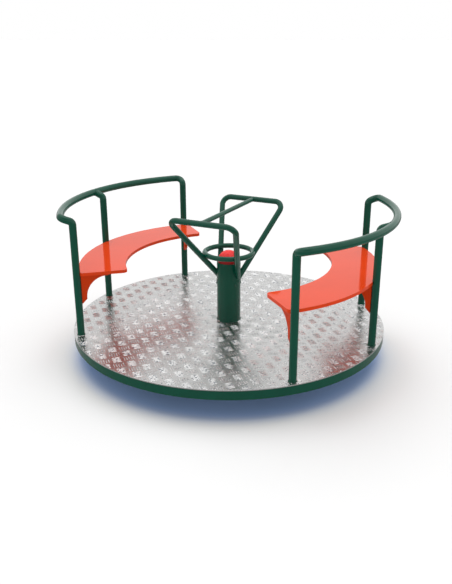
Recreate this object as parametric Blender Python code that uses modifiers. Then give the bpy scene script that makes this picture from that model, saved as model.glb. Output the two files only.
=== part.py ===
"""Playground roundabout with two curved benches, in metres, +Z up.

The origin is on the spin axis at ground level. A flange and a spindle stand on the
ground. The platform turns on them with its centre column, its grab handles and its
benches. The first bench faces the axis from +X and the second one from -X.
"""

import math

import bmesh
import bpy
from mathutils import Vector

# Fit
CONTACT_GAP = 0.0003        # between pieces that are welded or bolted together
BEARING_GAP = 0.00045       # between the bearings and the turning column

# Deck and the frame under it
DECK_RADIUS = 0.750
DECK_THICKNESS = 0.0047
RIM_RADIUS = 0.749
RIM_WALL = 0.010
RIM_HEIGHT = 0.040
RIM_UNDERSIDE_Z = 0.095
SPOKE_WIDTH = 0.035
RIM_TOP_Z = RIM_UNDERSIDE_Z + RIM_HEIGHT
DECK_UNDERSIDE_Z = RIM_TOP_Z + CONTACT_GAP
DECK_Z = DECK_UNDERSIDE_Z + DECK_THICKNESS

# Centre column and its cap
COLUMN_RADIUS = 0.05715
COLUMN_WALL = 0.006
COLUMN_FOOT_Z = 0.060
COLUMN_TOP_Z = DECK_Z + 0.293
CAP_RADIUS = 0.0525
CAP_HEIGHT = 0.056

# Grab handles on the column
HANDLE_TUBE_RADIUS = 0.01345
HANDLE_BAR_HALF_WIDTH = 0.170
HANDLE_BAR_REACH = 0.275
HANDLE_BAR_Z = DECK_Z + 0.542
HANDLE_BEND_RADIUS = 0.0375
HANDLE_FOOT_X = 0.049
HANDLE_FOOT_Z = DECK_Z + 0.214
HANDLE_BURIED_LENGTH = 0.038
CROSSBAR_RADIUS = 0.01065
GRIP_RING_RADIUS = 0.114
GRIP_RING_TUBE_RADIUS = 0.012
GRIP_RING_Z = DECK_Z + 0.339

# Bench posts and handrail
POST_RADIUS = 0.01685
POST_CIRCLE_RADIUS = 0.7185
POST_ANGLE = math.radians(42.6)
POST_TOP_Z = DECK_Z + 0.495
POST_BEND_Z = DECK_Z + 0.5395
POST_BEND_RADIUS = 0.020
RAIL_RADIUS = 0.768
RAIL_Z = DECK_Z + 0.5585
RAIL_CORNER_RADIUS = 0.028
MIDDLE_STUB_SHORTFALL = 0.004    # from the end of the middle post's tube to the rail's axis

# Bench seat, notched round the posts
SEAT_THICKNESS = 0.015
SEAT_TOP_Z = DECK_Z + 0.305
SEAT_UNDERSIDE_Z = SEAT_TOP_Z - SEAT_THICKNESS
SEAT_INNER_RADIUS = 0.489
SEAT_OUTER_RADIUS = 0.707
SEAT_INNER_ANGLE = math.radians(45.4)
SEAT_OUTER_ANGLE = math.radians(44.2)
SEAT_CORNER_RADIUS = 0.022
SEAT_CORNER_TRIM = 0.0330    # how far the arcs stop short of the rounded corners

# Seat brackets, measured from the post inwards and from the seat downwards
BRACKET_THICKNESS = 0.015
BRACKET_LENGTH = 0.138
BRACKET_HEIGHT = 0.136
BRACKET_END_HEIGHT = 0.009
BRACKET_TOE_HEIGHT = 0.003
BRACKET_CURVE_RADIUS = 0.097
BRACKET_NECK = 0.0235
BRACKET_CHAMFER = 0.022
BRACKET_TIP = 0.002

# Ground flange, spindle and bearings
FLANGE_RADIUS = 0.210
FLANGE_THICKNESS = 0.012
PEDESTAL_RADIUS = 0.0635
PEDESTAL_TOP_Z = 0.050
SPINDLE_RADIUS = 0.030
SPINDLE_TOP_Z = 0.360
GUSSET_COUNT = 4
GUSSET_THICKNESS = 0.008
GUSSET_LENGTH = 0.100
GUSSET_HEIGHT = 0.034
GUSSET_TOE = 0.006
BEARING_HEIGHT = 0.022
LOWER_BEARING_Z = 0.075
UPPER_BEARING_Z = 0.320
THRUST_PLATE_THICKNESS = 0.010

# Facets
ROUND_STEPS = 96
COLUMN_STEPS = 48
DOME_STEPS = 10
RING_TUBE_STEPS = 12
SEAT_ARC_STEPS = 20
BRACKET_CURVE_STEPS = 8
TUBE_BEVEL_RESOLUTION = 5
BEND_STEPS = 6
RAIL_ARC_STEPS = 22
SHARP_ANGLE = math.radians(35.0)
MERGE_DISTANCE = 0.00001

GREEN_PAINT = ("green_paint", (0.012, 0.091, 0.048), 0.22, 0.0)
ORANGE_BOARD = ("orange_board", (0.83, 0.115, 0.045), 0.20, 0.0)
RED_CAP = ("red_cap", (0.75, 0.026, 0.032), 0.12, 0.0)
TREAD_METAL = ("tread_metal", (0.62, 0.62, 0.60), 0.28, 1.0)
SPINDLE_STEEL = ("spindle_steel", (0.42, 0.42, 0.43), 0.35, 1.0)

MODEL_NAME = "playground_roundabout"


def remove_all_objects():
    """Empty the scene that the script starts in."""
    for item in list(bpy.data.objects):
        bpy.data.objects.remove(item, do_unlink=True)


def new_collection(name):
    """Add a collection to the scene."""
    group = bpy.data.collections.new(name)
    bpy.context.scene.collection.children.link(group)
    return group


def material_of(finish):
    """Return the Principled material of a finish, made once."""
    name, colour, roughness, metallic = finish
    material = bpy.data.materials.get(name)
    if material is None:
        material = bpy.data.materials.new(name)
        material.use_nodes = True
        shader = material.node_tree.nodes["Principled BSDF"]
        shader.inputs["Base Color"].default_value = (*colour, 1.0)
        shader.inputs["Roughness"].default_value = roughness
        shader.inputs["Metallic"].default_value = metallic
    return material


def polar(radius, angle, height):
    """A point at a radius and an angle about the spin axis."""
    return Vector((radius * math.cos(angle), radius * math.sin(angle), height))


def rounded_path(points, radii):
    """A path through points, with an arc at each inner point that has a radius."""
    path = [points[0]]
    for before, corner, after, radius in zip(points, points[1:], points[2:], radii):
        if radius == 0.0:
            path.append(corner)
            continue
        back = (before - corner).normalized()
        ahead = (after - corner).normalized()
        half_angle = back.angle(ahead) / 2.0
        setback = radius / math.tan(half_angle)
        centre = corner + (back + ahead).normalized() * radius / math.sin(half_angle)
        first = corner + back * setback - centre
        last = corner + ahead * setback - centre
        sweep = first.angle(last)
        for step in range(BEND_STEPS + 1):
            turned_by = sweep * step / BEND_STEPS
            blend = first * math.sin(sweep - turned_by) + last * math.sin(turned_by)
            path.append(centre + blend / math.sin(sweep))
    path.append(points[-1])
    return path


class Model:
    """The collections and empties that the pieces are put in and parented to."""

    def __init__(self):
        self.parts = new_collection(MODEL_NAME)
        self.cutters = new_collection("cutters")
        self.fixed = self.add_empty("ground_frame")
        self.turning = self.add_empty("platform_axis")

    def add_empty(self, name):
        """Add an empty on the spin axis."""
        empty = bpy.data.objects.new(name, None)
        self.parts.objects.link(empty)
        return empty

    def place(self, item, finish, parent, turn=0.0):
        """Put a piece in the model, with its finish, parent and angle about the axis."""
        for group in list(item.users_collection):
            group.objects.unlink(item)
        self.parts.objects.link(item)
        item.data.materials.clear()
        item.data.materials.append(material_of(finish))
        item.parent = parent
        item.rotation_euler[2] = turn
        return item

    def place_cutter(self, item, parent, turn=0.0):
        """Keep a cutter out of the model but in the same frame as what it cuts."""
        for group in list(item.users_collection):
            group.objects.unlink(item)
        self.cutters.objects.link(item)
        item.hide_render = True
        item.display_type = "WIRE"
        item.parent = parent
        item.rotation_euler[2] = turn
        return item


def mesh_object(name, shape):
    """Turn a bmesh into an object, smooth where it is round."""
    mesh = bpy.data.meshes.new(name)
    shape.to_mesh(mesh)
    shape.free()
    item = bpy.data.objects.new(name, mesh)
    bpy.context.scene.collection.objects.link(item)
    mesh.shade_smooth()
    mesh.set_sharp_from_angle(angle=SHARP_ANGLE)
    return item


def upright_cylinder(name, radius, low_z, high_z, steps):
    """A solid cylinder on the spin axis."""
    shape = bmesh.new()
    bmesh.ops.create_cone(shape, cap_ends=True, segments=steps, radius1=radius, radius2=radius,
                          depth=high_z - low_z)
    bmesh.ops.translate(shape, vec=(0.0, 0.0, (low_z + high_z) / 2.0), verts=shape.verts)
    return mesh_object(name, shape)


def box(name, low, high):
    """A box between two corners."""
    low = Vector(low)
    high = Vector(high)
    shape = bmesh.new()
    bmesh.ops.create_cube(shape, size=1.0)
    bmesh.ops.scale(shape, vec=high - low, verts=shape.verts)
    bmesh.ops.translate(shape, vec=(low + high) / 2.0, verts=shape.verts)
    return mesh_object(name, shape)


def turned(name, profile, steps):
    """A solid turned about the spin axis, from (radius, height) points, outer side going down."""
    shape = bmesh.new()
    corners = [shape.verts.new((radius, 0.0, height)) for radius, height in profile]
    for first, second in zip(corners, corners[1:]):
        shape.edges.new((first, second))
    if profile[0][0] > 0.0:
        shape.edges.new((corners[-1], corners[0]))
    item = mesh_object(name, shape)
    screw = item.modifiers.new("turn", "SCREW")
    screw.steps = steps
    screw.render_steps = steps
    screw.use_merge_vertices = True
    screw.merge_threshold = MERGE_DISTANCE
    screw.use_smooth_shade = True
    return item


def tube(name, path, radius):
    """A round tube along a path, as a curve with closed ends."""
    curve = bpy.data.curves.new(name, "CURVE")
    curve.dimensions = "3D"
    curve.bevel_depth = radius
    curve.bevel_resolution = TUBE_BEVEL_RESOLUTION
    curve.use_fill_caps = True
    spline = curve.splines.new("POLY")
    spline.points.add(len(path) - 1)
    for knot, point in zip(spline.points, path):
        knot.co = (*point, 1.0)
    item = bpy.data.objects.new(name, curve)
    bpy.context.scene.collection.objects.link(item)
    return item


def as_mesh(item):
    """Replace a curve object by a mesh object with welded ends, so that it can be cut."""
    bpy.context.view_layer.update()
    evaluated = item.evaluated_get(bpy.context.evaluated_depsgraph_get())
    mesh = bpy.data.meshes.new_from_object(evaluated)
    shape = bmesh.new()
    shape.from_mesh(mesh)
    bmesh.ops.remove_doubles(shape, verts=shape.verts, dist=MERGE_DISTANCE)
    shape.to_mesh(mesh)
    shape.free()
    name = item.name
    place = item.matrix_world.copy()
    bpy.data.objects.remove(item, do_unlink=True)
    mesh.name = name
    solid = bpy.data.objects.new(name, mesh)
    solid.matrix_world = place
    bpy.context.scene.collection.objects.link(solid)
    mesh.shade_smooth()
    mesh.set_sharp_from_angle(angle=SHARP_ANGLE)
    return solid


def cut(item, cutter):
    """Cut one mesh object by another."""
    modifier = item.modifiers.new("cut", "BOOLEAN")
    modifier.operation = "DIFFERENCE"
    modifier.object = cutter


def flat_plate(name, outline, thickness):
    """A flat plate in the XY plane, centred on it, from the (x, y) points of its outline."""
    curve = bpy.data.curves.new(name, "CURVE")
    curve.dimensions = "2D"
    curve.fill_mode = "BOTH"
    curve.extrude = thickness / 2.0
    spline = curve.splines.new("POLY")
    spline.points.add(len(outline) - 1)
    for knot, point in zip(spline.points, outline):
        knot.co = (point[0], point[1], 0.0, 1.0)
    spline.use_cyclic_u = True
    item = bpy.data.objects.new(name, curve)
    bpy.context.scene.collection.objects.link(item)
    return item


def build_ground_frame(model):
    """The fixed pieces: flange, gussets, spindle and bearings."""
    flange = upright_cylinder("ground_flange", FLANGE_RADIUS, 0.0, FLANGE_THICKNESS, COLUMN_STEPS)
    model.place(flange, GREEN_PAINT, model.fixed)

    foot_z = FLANGE_THICKNESS + CONTACT_GAP
    spindle = turned("spindle", [
        (0.0, SPINDLE_TOP_Z),
        (SPINDLE_RADIUS, SPINDLE_TOP_Z),
        (SPINDLE_RADIUS, PEDESTAL_TOP_Z),
        (PEDESTAL_RADIUS, PEDESTAL_TOP_Z),
        (PEDESTAL_RADIUS, foot_z),
        (0.0, foot_z),
    ], COLUMN_STEPS)
    model.place(spindle, SPINDLE_STEEL, model.fixed)

    gusset_start = PEDESTAL_RADIUS + CONTACT_GAP
    for index in range(GUSSET_COUNT):
        outline = [
            (gusset_start, foot_z),
            (gusset_start + GUSSET_LENGTH, foot_z),
            (gusset_start + GUSSET_LENGTH, foot_z + GUSSET_TOE),
            (gusset_start + GUSSET_TOE, foot_z + GUSSET_HEIGHT),
            (gusset_start, foot_z + GUSSET_HEIGHT),
        ]
        gusset = flat_plate(f"flange_gusset_{index + 1}", outline, GUSSET_THICKNESS)
        angle = (index + 0.5) * 2.0 * math.pi / GUSSET_COUNT
        model.place(gusset, GREEN_PAINT, model.fixed, angle)
        gusset.rotation_euler[0] = math.pi / 2.0

    race_inner = SPINDLE_RADIUS + CONTACT_GAP
    race_outer = COLUMN_RADIUS - COLUMN_WALL - BEARING_GAP
    for name, low_z in (("lower_bearing", LOWER_BEARING_Z), ("upper_bearing", UPPER_BEARING_Z)):
        bearing = turned(name, [
            (race_outer, low_z + BEARING_HEIGHT),
            (race_outer, low_z),
            (race_inner, low_z),
            (race_inner, low_z + BEARING_HEIGHT),
        ], COLUMN_STEPS)
        model.place(bearing, SPINDLE_STEEL, model.fixed)


def build_deck(model):
    """The turning deck: rim, spokes and tread plate."""
    rim = turned("rim_ring", [
        (RIM_RADIUS, RIM_TOP_Z),
        (RIM_RADIUS, RIM_UNDERSIDE_Z),
        (RIM_RADIUS - RIM_WALL, RIM_UNDERSIDE_Z),
        (RIM_RADIUS - RIM_WALL, RIM_TOP_Z),
    ], ROUND_STEPS)
    model.place(rim, GREEN_PAINT, model.turning)

    bench_angles = [-POST_ANGLE, 0.0, POST_ANGLE]
    spoke_angles = bench_angles + [math.pi / 2.0]
    spoke_angles += [angle + math.pi for angle in spoke_angles]
    rim_step = math.pi / ROUND_STEPS
    spoke_end = (RIM_RADIUS - RIM_WALL) * math.cos(rim_step) - CONTACT_GAP
    spoke_reach = math.sqrt(spoke_end ** 2 - (SPOKE_WIDTH / 2.0) ** 2)
    for index, angle in enumerate(spoke_angles):
        spoke = box(f"deck_spoke_{index + 1}",
                    (COLUMN_RADIUS + CONTACT_GAP, -SPOKE_WIDTH / 2.0, RIM_UNDERSIDE_Z),
                    (spoke_reach, SPOKE_WIDTH / 2.0, RIM_TOP_Z))
        model.place(spoke, GREEN_PAINT, model.turning, angle)

    deck = turned("tread_plate", [
        (DECK_RADIUS, DECK_Z),
        (DECK_RADIUS, DECK_UNDERSIDE_Z),
        (COLUMN_RADIUS + CONTACT_GAP, DECK_UNDERSIDE_Z),
        (COLUMN_RADIUS + CONTACT_GAP, DECK_Z),
    ], ROUND_STEPS)
    model.place(deck, TREAD_METAL, model.turning)


def build_column(model):
    """The centre column with its cap and the plate that hangs it on the spindle."""
    column = turned("centre_column", [
        (COLUMN_RADIUS, COLUMN_TOP_Z),
        (COLUMN_RADIUS, COLUMN_FOOT_Z),
        (COLUMN_RADIUS - COLUMN_WALL, COLUMN_FOOT_Z),
        (COLUMN_RADIUS - COLUMN_WALL, COLUMN_TOP_Z),
    ], COLUMN_STEPS)
    model.place(column, GREEN_PAINT, model.turning)

    thrust = upright_cylinder("thrust_plate", COLUMN_RADIUS - COLUMN_WALL - CONTACT_GAP,
                              SPINDLE_TOP_Z + CONTACT_GAP,
                              SPINDLE_TOP_Z + CONTACT_GAP + THRUST_PLATE_THICKNESS, COLUMN_STEPS)
    model.place(thrust, SPINDLE_STEEL, model.turning)

    cap_foot_z = COLUMN_TOP_Z + CONTACT_GAP
    dome = []
    for step in range(DOME_STEPS + 1):
        rise = (math.pi / 2.0) * (1.0 - step / DOME_STEPS)
        dome.append((CAP_RADIUS * math.cos(rise), cap_foot_z + CAP_HEIGHT * math.sin(rise)))
    dome[0] = (0.0, dome[0][1])
    cap = turned("column_cap", dome + [(0.0, cap_foot_z)], COLUMN_STEPS)
    model.place(cap, RED_CAP, model.turning)


def handle_path(side):
    """The centreline of one grab handle, from foot to foot; side is +1 or -1 along Y."""
    foot = Vector((HANDLE_FOOT_X, 0.0, HANDLE_FOOT_Z))
    shoulder = Vector((HANDLE_BAR_HALF_WIDTH, side * HANDLE_BAR_REACH, HANDLE_BAR_Z))
    buried_foot = foot - (shoulder - foot).normalized() * HANDLE_BURIED_LENGTH
    mirrored = [Vector((-point.x, point.y, point.z)) for point in (shoulder, buried_foot)]
    corners = [buried_foot, shoulder] + mirrored
    return rounded_path(corners, [HANDLE_BEND_RADIUS, HANDLE_BEND_RADIUS])


def build_handles(model):
    """The two bent grab handles, the bar between them and the grip ring.

    The feet of the handles meet in a mitre on each side of the column. The crossbar and
    the ring are saddled where they meet the handles.
    """
    column_cutter = upright_cylinder("column_cutter", COLUMN_RADIUS + CONTACT_GAP,
                                     DECK_Z, COLUMN_TOP_Z, COLUMN_STEPS)
    model.place_cutter(column_cutter, model.turning)
    for index, side in enumerate((1.0, -1.0)):
        handle = as_mesh(tube(f"grab_handle_{index + 1}", handle_path(side), HANDLE_TUBE_RADIUS))
        mitre_faces = sorted((side * CONTACT_GAP / 2.0, -side * HANDLE_BAR_REACH))
        mitre = box(f"mitre_cutter_{index + 1}",
                    (-HANDLE_BAR_HALF_WIDTH, mitre_faces[0], DECK_Z),
                    (HANDLE_BAR_HALF_WIDTH, mitre_faces[1], COLUMN_TOP_Z))
        model.place_cutter(mitre, model.turning)
        cut(handle, column_cutter)
        cut(handle, mitre)
        model.place(handle, GREEN_PAINT, model.turning)

    crossbar_ends = [Vector((0.0, side * HANDLE_BAR_REACH, HANDLE_BAR_Z)) for side in (-1.0, 1.0)]
    crossbar = as_mesh(tube("crossbar", crossbar_ends, CROSSBAR_RADIUS))
    bpy.ops.mesh.primitive_torus_add(major_radius=GRIP_RING_RADIUS,
                                     minor_radius=GRIP_RING_TUBE_RADIUS,
                                     major_segments=COLUMN_STEPS,
                                     minor_segments=RING_TUBE_STEPS)
    ring = bpy.context.active_object
    ring.name = "grip_ring"
    ring.location[2] = GRIP_RING_Z
    ring.data.shade_smooth()
    for index, side in enumerate((1.0, -1.0)):
        saddle = as_mesh(tube(f"saddle_cutter_{index + 1}", handle_path(side),
                              HANDLE_TUBE_RADIUS + CONTACT_GAP))
        model.place_cutter(saddle, model.turning)
        cut(crossbar, saddle)
        cut(ring, saddle)
    model.place(crossbar, GREEN_PAINT, model.turning)
    model.place(ring, GREEN_PAINT, model.turning)


def rail_path():
    """The handrail's centreline: up from one end post, out, round the arc and down again."""
    corner_turn = math.atan(RAIL_CORNER_RADIUS / RAIL_RADIUS)
    corner_radius = RAIL_RADIUS / math.cos(corner_turn)
    arc_end = POST_ANGLE - corner_turn
    arc_steps = RAIL_ARC_STEPS
    arc = [polar(RAIL_RADIUS, arc_end * (2.0 * step / arc_steps - 1.0), RAIL_Z)
           for step in range(arc_steps + 1)]
    start = [polar(POST_CIRCLE_RADIUS, -POST_ANGLE, POST_TOP_Z + CONTACT_GAP),
             polar(POST_CIRCLE_RADIUS, -POST_ANGLE, POST_BEND_Z),
             polar(corner_radius, -POST_ANGLE, RAIL_Z)]
    finish = [polar(corner_radius, POST_ANGLE, RAIL_Z),
              polar(POST_CIRCLE_RADIUS, POST_ANGLE, POST_BEND_Z),
              polar(POST_CIRCLE_RADIUS, POST_ANGLE, POST_TOP_Z + CONTACT_GAP)]
    points = start + arc[1:-1] + finish
    radii = [POST_BEND_RADIUS, RAIL_CORNER_RADIUS]
    radii = radii + [0.0] * (len(arc) - 2) + radii[::-1]
    return rounded_path(points, radii)


def seat_outline():
    """The seat's outline: two arcs joined by straight ends with rounded corners."""
    points = []
    rounding = []
    for radius, end_angle in ((SEAT_OUTER_RADIUS, SEAT_OUTER_ANGLE),
                              (SEAT_INNER_RADIUS, -SEAT_INNER_ANGLE)):
        trim = math.copysign(SEAT_CORNER_TRIM / radius, end_angle)
        reach = end_angle - trim
        points.append(polar(radius, -end_angle, 0.0))
        points += [polar(radius, reach * (2.0 * step / SEAT_ARC_STEPS - 1.0), 0.0)
                   for step in range(SEAT_ARC_STEPS + 1)]
        points.append(polar(radius, end_angle, 0.0))
        rounding += [SEAT_CORNER_RADIUS] + [0.0] * (SEAT_ARC_STEPS + 1) + [SEAT_CORNER_RADIUS]
    closed = [points[-1]] + points + [points[0]]
    return rounded_path(closed, rounding)[1:-1]


def bracket_outline():
    """A seat bracket's outline, as (distance in from the post, height below the seat)."""
    centre_across = BRACKET_NECK + BRACKET_CURVE_RADIUS
    centre_height = -(BRACKET_END_HEIGHT + BRACKET_CURVE_RADIUS)
    outline = [(0.0, 0.0), (BRACKET_LENGTH, 0.0), (BRACKET_LENGTH, -BRACKET_TOE_HEIGHT)]
    for step in range(BRACKET_CURVE_STEPS + 1):
        angle = (math.pi / 2.0) * step / BRACKET_CURVE_STEPS
        outline.append((centre_across - BRACKET_CURVE_RADIUS * math.sin(angle),
                        centre_height + BRACKET_CURVE_RADIUS * math.cos(angle)))
    outline.append((BRACKET_NECK, BRACKET_CHAMFER - BRACKET_HEIGHT))
    outline.append((BRACKET_TIP, -BRACKET_HEIGHT))
    outline.append((0.0, -BRACKET_HEIGHT))
    return outline


def build_bench(model, label, turn):
    """One bench: posts, handrail, seat and brackets, turned to its place about the axis."""
    rail = tube(f"{label}_handrail", rail_path(), POST_RADIUS)
    model.place(rail, GREEN_PAINT, model.turning, turn)

    for name, angle in (("first", -POST_ANGLE), ("last", POST_ANGLE)):
        post = tube(f"{label}_post_{name}",
                    [polar(POST_CIRCLE_RADIUS, angle, DECK_Z + CONTACT_GAP),
                     polar(POST_CIRCLE_RADIUS, angle, POST_TOP_Z)], POST_RADIUS)
        model.place(post, GREEN_PAINT, model.turning, turn)

    rail_cutter = as_mesh(tube(f"{label}_rail_cutter", rail_path(), POST_RADIUS + CONTACT_GAP))
    model.place_cutter(rail_cutter, model.turning, turn)
    middle_bend = polar(POST_CIRCLE_RADIUS, 0.0, POST_BEND_Z)
    rail_middle = polar(RAIL_RADIUS, 0.0, RAIL_Z)
    stub = rail_middle - middle_bend
    middle_corners = [polar(POST_CIRCLE_RADIUS, 0.0, DECK_Z + CONTACT_GAP), middle_bend,
                      rail_middle - stub.normalized() * MIDDLE_STUB_SHORTFALL]
    middle = as_mesh(tube(f"{label}_post_middle",
                          rounded_path(middle_corners, [POST_BEND_RADIUS]), POST_RADIUS))
    cut(middle, rail_cutter)
    model.place(middle, GREEN_PAINT, model.turning, turn)

    seat = as_mesh(flat_plate(f"{label}_seat", seat_outline(), SEAT_THICKNESS))
    seat.location[2] = (SEAT_TOP_Z + SEAT_UNDERSIDE_Z) / 2.0
    model.place(seat, ORANGE_BOARD, model.turning, turn)

    post_face = POST_CIRCLE_RADIUS - POST_RADIUS - CONTACT_GAP
    shelf_z = SEAT_UNDERSIDE_Z - CONTACT_GAP
    for name, angle in (("first", -POST_ANGLE), ("middle", 0.0), ("last", POST_ANGLE)):
        notch = as_mesh(tube(f"{label}_notch_cutter_{name}",
                             [polar(POST_CIRCLE_RADIUS, angle, SEAT_UNDERSIDE_Z - SEAT_THICKNESS),
                              polar(POST_CIRCLE_RADIUS, angle, SEAT_TOP_Z + SEAT_THICKNESS)],
                             POST_RADIUS + CONTACT_GAP))
        model.place_cutter(notch, model.turning, turn)
        cut(seat, notch)

        outline = [(post_face - across, shelf_z + height) for across, height in bracket_outline()]
        bracket = flat_plate(f"{label}_bracket_{name}", outline, BRACKET_THICKNESS)
        model.place(bracket, ORANGE_BOARD, model.turning, turn + angle)
        bracket.rotation_euler[0] = math.pi / 2.0


def main():
    """Build the roundabout."""
    remove_all_objects()
    model = Model()
    build_ground_frame(model)
    build_deck(model)
    build_column(model)
    build_handles(model)
    build_bench(model, "bench_a", 0.0)
    build_bench(model, "bench_b", math.pi)


main()
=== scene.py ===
"""Playground roundabout, dressed: painted tubes, glossy boards, tread plate and studio.

Lengths are in metres. The origin is on the spin axis at ground level, with +Z up. The
first bench is on the +X side and the second one on the -X side.
"""

import logging
import math
from abc import ABC, abstractmethod
from collections.abc import Callable, Sequence
from dataclasses import dataclass, field
from enum import Enum
from typing import ClassVar

import bmesh
import bpy
from mathutils import Matrix, Vector


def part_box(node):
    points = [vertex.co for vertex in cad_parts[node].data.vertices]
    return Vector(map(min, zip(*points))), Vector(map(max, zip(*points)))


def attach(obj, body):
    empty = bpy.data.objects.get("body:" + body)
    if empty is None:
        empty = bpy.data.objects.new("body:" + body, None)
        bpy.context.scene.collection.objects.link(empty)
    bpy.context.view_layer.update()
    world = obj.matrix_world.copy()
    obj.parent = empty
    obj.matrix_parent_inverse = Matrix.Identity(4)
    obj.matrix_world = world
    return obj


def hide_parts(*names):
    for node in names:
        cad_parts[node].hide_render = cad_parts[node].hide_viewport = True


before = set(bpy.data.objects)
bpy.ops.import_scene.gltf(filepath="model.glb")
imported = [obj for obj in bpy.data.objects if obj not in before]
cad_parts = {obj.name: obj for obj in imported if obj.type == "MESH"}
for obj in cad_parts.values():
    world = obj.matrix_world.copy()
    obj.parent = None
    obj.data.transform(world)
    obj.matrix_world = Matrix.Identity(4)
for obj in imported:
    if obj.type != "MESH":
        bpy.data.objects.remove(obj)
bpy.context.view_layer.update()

log = logging.getLogger("roundabout")

Path = list[Vector]
Shape = bmesh.types.BMesh
Socket = bpy.types.NodeSocket
Source = Socket | Vector | float | Sequence[float]
Colour = tuple[float, float, float]
Span = tuple[float, float]

FULL_TURN = 2.0 * math.pi
QUARTER_TURN = math.pi / 2.0
ORIGIN = Vector((0.0, 0.0, 0.0))
UP = Vector((0.0, 0.0, 1.0))
WELD_DISTANCE = 0.00001
SMOOTH_BELOW = math.radians(35.0)
ROUND_STEPS = 96
EDGE_SEGMENTS = 3


class Body(Enum):
    """The two bodies that turn against each other."""

    GROUND = "ground_frame"
    PLATFORM = "platform"


class PostPlace(Enum):
    """Where a post stands on its bench, as a share of the bench's half angle."""

    FIRST = -1
    MIDDLE = 0
    LAST = 1

    @property
    def word(self) -> str:
        """The word that node names use for the place."""
        return self.name.lower()


class BarLay(Enum):
    """Which diagonal of the tread pattern a group of bars follows, in degrees."""

    RISING = 45.0
    FALLING = 135.0

    @property
    def along(self) -> Vector:
        """The direction of the bars."""
        angle = math.radians(self.value)
        return Vector((math.cos(angle), math.sin(angle)))


class LampUse(Enum):
    """What a lamp does: it lights the surfaces, or it only shows in their gloss."""

    SHADING = "shading"
    GLOSS = "gloss"


# Shader work

UNIT: Span = (0.0, 1.0)
NOISE_MIDDLE: Span = (0.3, 0.7)

# How alike the rounded normal and the plain one are, on a flat and on an edge
FLAT_TO_EDGE: Span = (0.98, 0.80)

# Where the mix node has its sockets for colours
MIX_SHARE, MIX_FIRST, MIX_SECOND, MIX_RESULT = 0, 6, 7, 2


class NodeBench:
    """A node tree, with the few nodes that the finishes and the sky share."""

    def __init__(self, tree: bpy.types.NodeTree, coordinates: str) -> None:
        """Start work on a node tree.

        Args:
            tree: the node tree.
            coordinates: the texture coordinates that its nodes follow.
        """
        self.tree = tree
        self.place = self.add("ShaderNodeTexCoord").outputs[coordinates]

    def join(self, source: Source, target: Socket) -> None:
        """Feed an input.

        Args:
            source: a socket to link to it, or a fixed level or levels.
            target: the input.
        """
        if isinstance(source, Socket):
            self.tree.links.new(source, target)
        else:
            target.default_value = source

    def wire(self, node: bpy.types.Node, **sources: Source) -> bpy.types.Node:
        """Feed some inputs of a node.

        Args:
            node: the node.
            sources: what each input gets, with underscores for spaces in their names.

        Returns:
            The node.
        """
        for name, source in sources.items():
            self.join(source, node.inputs[name.replace("_", " ")])
        return node

    def add(self, kind: str, **sources: Source) -> bpy.types.Node:
        """Add a node of a kind and feed some of its inputs."""
        return self.wire(self.tree.nodes.new(kind), **sources)

    def combined(self, kind: str, operation: str, first: Source, second: Source) -> Socket:
        """Work out one value from two values or directions.

        Args:
            kind: the kind of maths node.
            operation: what the node does with them.
            first: the first one.
            second: the second one.

        Returns:
            The value.
        """
        node = self.add(kind)
        node.operation = operation
        self.join(first, node.inputs[0])
        self.join(second, node.inputs[1])
        return node.outputs["Value"]

    def product(self, first: Source, second: Source) -> Socket:
        """Multiply two values."""
        return self.combined("ShaderNodeMath", "MULTIPLY", first, second)

    def likeness(self, first: Source, second: Source) -> Socket:
        """Measure how alike two directions are: 1 for the same one, -1 for opposite ones."""
        return self.combined("ShaderNodeVectorMath", "DOT_PRODUCT", first, second)

    def spread(self, value: Socket, source: Span, target: Span) -> Socket:
        """Map a value from one range to another, held at its ends.

        Args:
            value: the value.
            source: the range that it comes from.
            target: the range that it goes to.

        Returns:
            The mapped value.
        """
        node = self.add("ShaderNodeMapRange", Value=value, From_Min=source[0],
                        From_Max=source[1], To_Min=target[0], To_Max=target[1])
        return node.outputs["Result"]


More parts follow.
